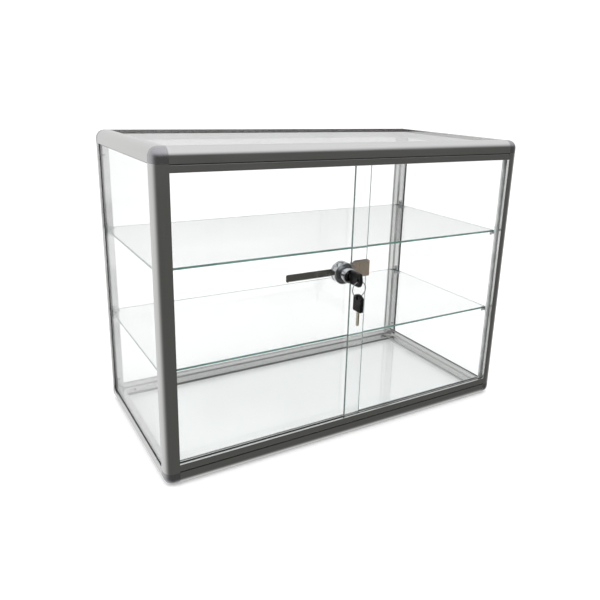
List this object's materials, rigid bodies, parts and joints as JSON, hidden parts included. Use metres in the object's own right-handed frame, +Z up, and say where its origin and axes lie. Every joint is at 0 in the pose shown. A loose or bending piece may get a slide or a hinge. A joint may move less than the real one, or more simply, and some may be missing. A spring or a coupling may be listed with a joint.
{
  "type": "glass display showcase",
  "caption": "Countertop glass display case in a satin aluminium edge frame, with full-depth glass shelves, sliding glass doors and a ratchet bar lock.",
  "frame": {"origin": "centre of the footprint, on the counter", "axes": "+X to the right of someone facing the sliding doors (the long way), +Y away from them, towards the fixed rear glass, +Z up"},
  "size_m": [0.61, 0.3548, 0.457],
  "materials": {
    "anodised_aluminium": "satin anodised extrusion with fine lengthwise lines",
    "cast_aluminium": "satin die casting",
    "screw_steel": "plain zinc-plated steel",
    "clear_glass": "clear polished glass with green edges",
    "shelf_glass": "clear polished glass with deep green edges",
    "grey_rubber": "matt grey strip",
    "black_nylon": "matt black nylon",
    "grey_pile": "short woven pile",
    "bar_steel": "polished steel, brushed lengthwise",
    "black_rubber": "matt black",
    "chrome": "bright chrome plate",
    "key_steel": "nickel-plated key blank with cut edges",
    "black_plastic": "semi-gloss moulded plastic"
  },
  "bodies": {
    "case": {"post_front_left": "anodised_aluminium", "post_front_right": "anodised_aluminium", "post_rear_left": "anodised_aluminium", "post_rear_right": "anodised_aluminium", "bottom_rail_front": "anodised_aluminium", "bottom_rail_rear": "anodised_aluminium", "bottom_rail_left": "anodised_aluminium", "bottom_rail_right": "anodised_aluminium", "top_rail_front": "anodised_aluminium", "top_rail_rear": "anodised_aluminium", "top_rail_left": "anodised_aluminium", "top_rail_right": "anodised_aluminium", "corner_bottom_front_left": "cast_aluminium", "corner_bottom_front_right": "cast_aluminium", "corner_bottom_rear_left": "cast_aluminium", "corner_bottom_rear_right": "cast_aluminium", "corner_top_front_left": "cast_aluminium", "corner_top_front_right": "cast_aluminium", "corner_top_rear_left": "cast_aluminium", "corner_top_rear_right": "cast_aluminium", "frame_set_screws": "screw_steel", "base_glass": "clear_glass", "top_glass": "clear_glass", "rear_glass": "clear_glass", "left_glass": "clear_glass", "right_glass": "clear_glass", "base_gasket": "grey_rubber", "top_gasket": "grey_rubber", "rear_gasket": "grey_rubber", "left_gasket": "grey_rubber", "right_gasket": "grey_rubber", "upper_shelf": "shelf_glass", "lower_shelf": "shelf_glass", "upper_shelf_clips": "cast_aluminium", "lower_shelf_clips": "cast_aluminium", "shelf_clip_screws": "screw_steel", "bottom_track": "anodised_aluminium", "track_joint_seals": "black_rubber", "top_track": "anodised_aluminium", "bottom_track_liner": "black_nylon", "top_track_liner": "black_nylon", "door_pile_strips": "grey_pile"},
    "left_door": {"left_door_glass": "clear_glass", "ratchet_bar": "bar_steel", "hook_pad": "black_rubber"},
    "right_door": {"right_door_glass": "clear_glass"},
    "lock": {"lock_housing": "chrome", "lock_back_plate": "chrome", "lock_back_screws": "screw_steel", "lock_pawl_spring": "screw_steel"},
    "plug": {"lock_plug": "chrome"},
    "pawl": {"lock_pawl": "bar_steel"},
    "key": {"key_blade": "key_steel", "key_head": "black_plastic"},
    "ring": {"key_ring": "chrome"},
    "spare_key": {"spare_key_blade": "key_steel", "spare_key_head": "black_plastic"}
  },
  "joints": [
    {"name": "left_door_slide", "type": "slide", "parent": "case", "child": "left_door", "axis": [1, 0, 0], "range_m": [0, 0.262]},
    {"name": "right_door_slide", "type": "slide", "parent": "case", "child": "right_door", "axis": [1, 0, 0], "range_m": [-0.235, 0]},
    {"name": "lock_slide", "type": "slide", "parent": "right_door", "child": "lock", "axis": [-1, 0, 0], "range_m": [0, 0.112]},
    {"name": "plug_turn", "type": "hinge", "parent": "lock", "child": "plug", "pos_m": [-0.0318, -0.1525, 0.272], "axis": [0, 1, 0], "range_deg": [0, 90]},
    {"name": "pawl_lift", "type": "slide", "parent": "lock", "child": "pawl", "axis": [0, 0, 1], "range_m": [0, 0.00121], "deforming": ["lock_pawl_spring"]},
    {"name": "key_pull", "type": "slide", "parent": "plug", "child": "key", "axis": [0, -1, 0], "range_m": [0, 0.022]},
    {"name": "ring_swing", "type": "hinge", "parent": "key", "child": "ring", "pos_m": [-0.0318, -0.1925, 0.27024], "axis": [1, 0, 0], "range_deg": [-30, 30]},
    {"name": "spare_key_swing", "type": "hinge", "parent": "ring", "child": "spare_key", "pos_m": [-0.0318, -0.1925, 0.24824], "axis": [1, 0, 0], "range_deg": [-25, 25]}
  ],
  "couplings": [
    {"joint": "pawl_lift", "follows": "plug_turn", "m_per_rad": 0.00076394}
  ]
}
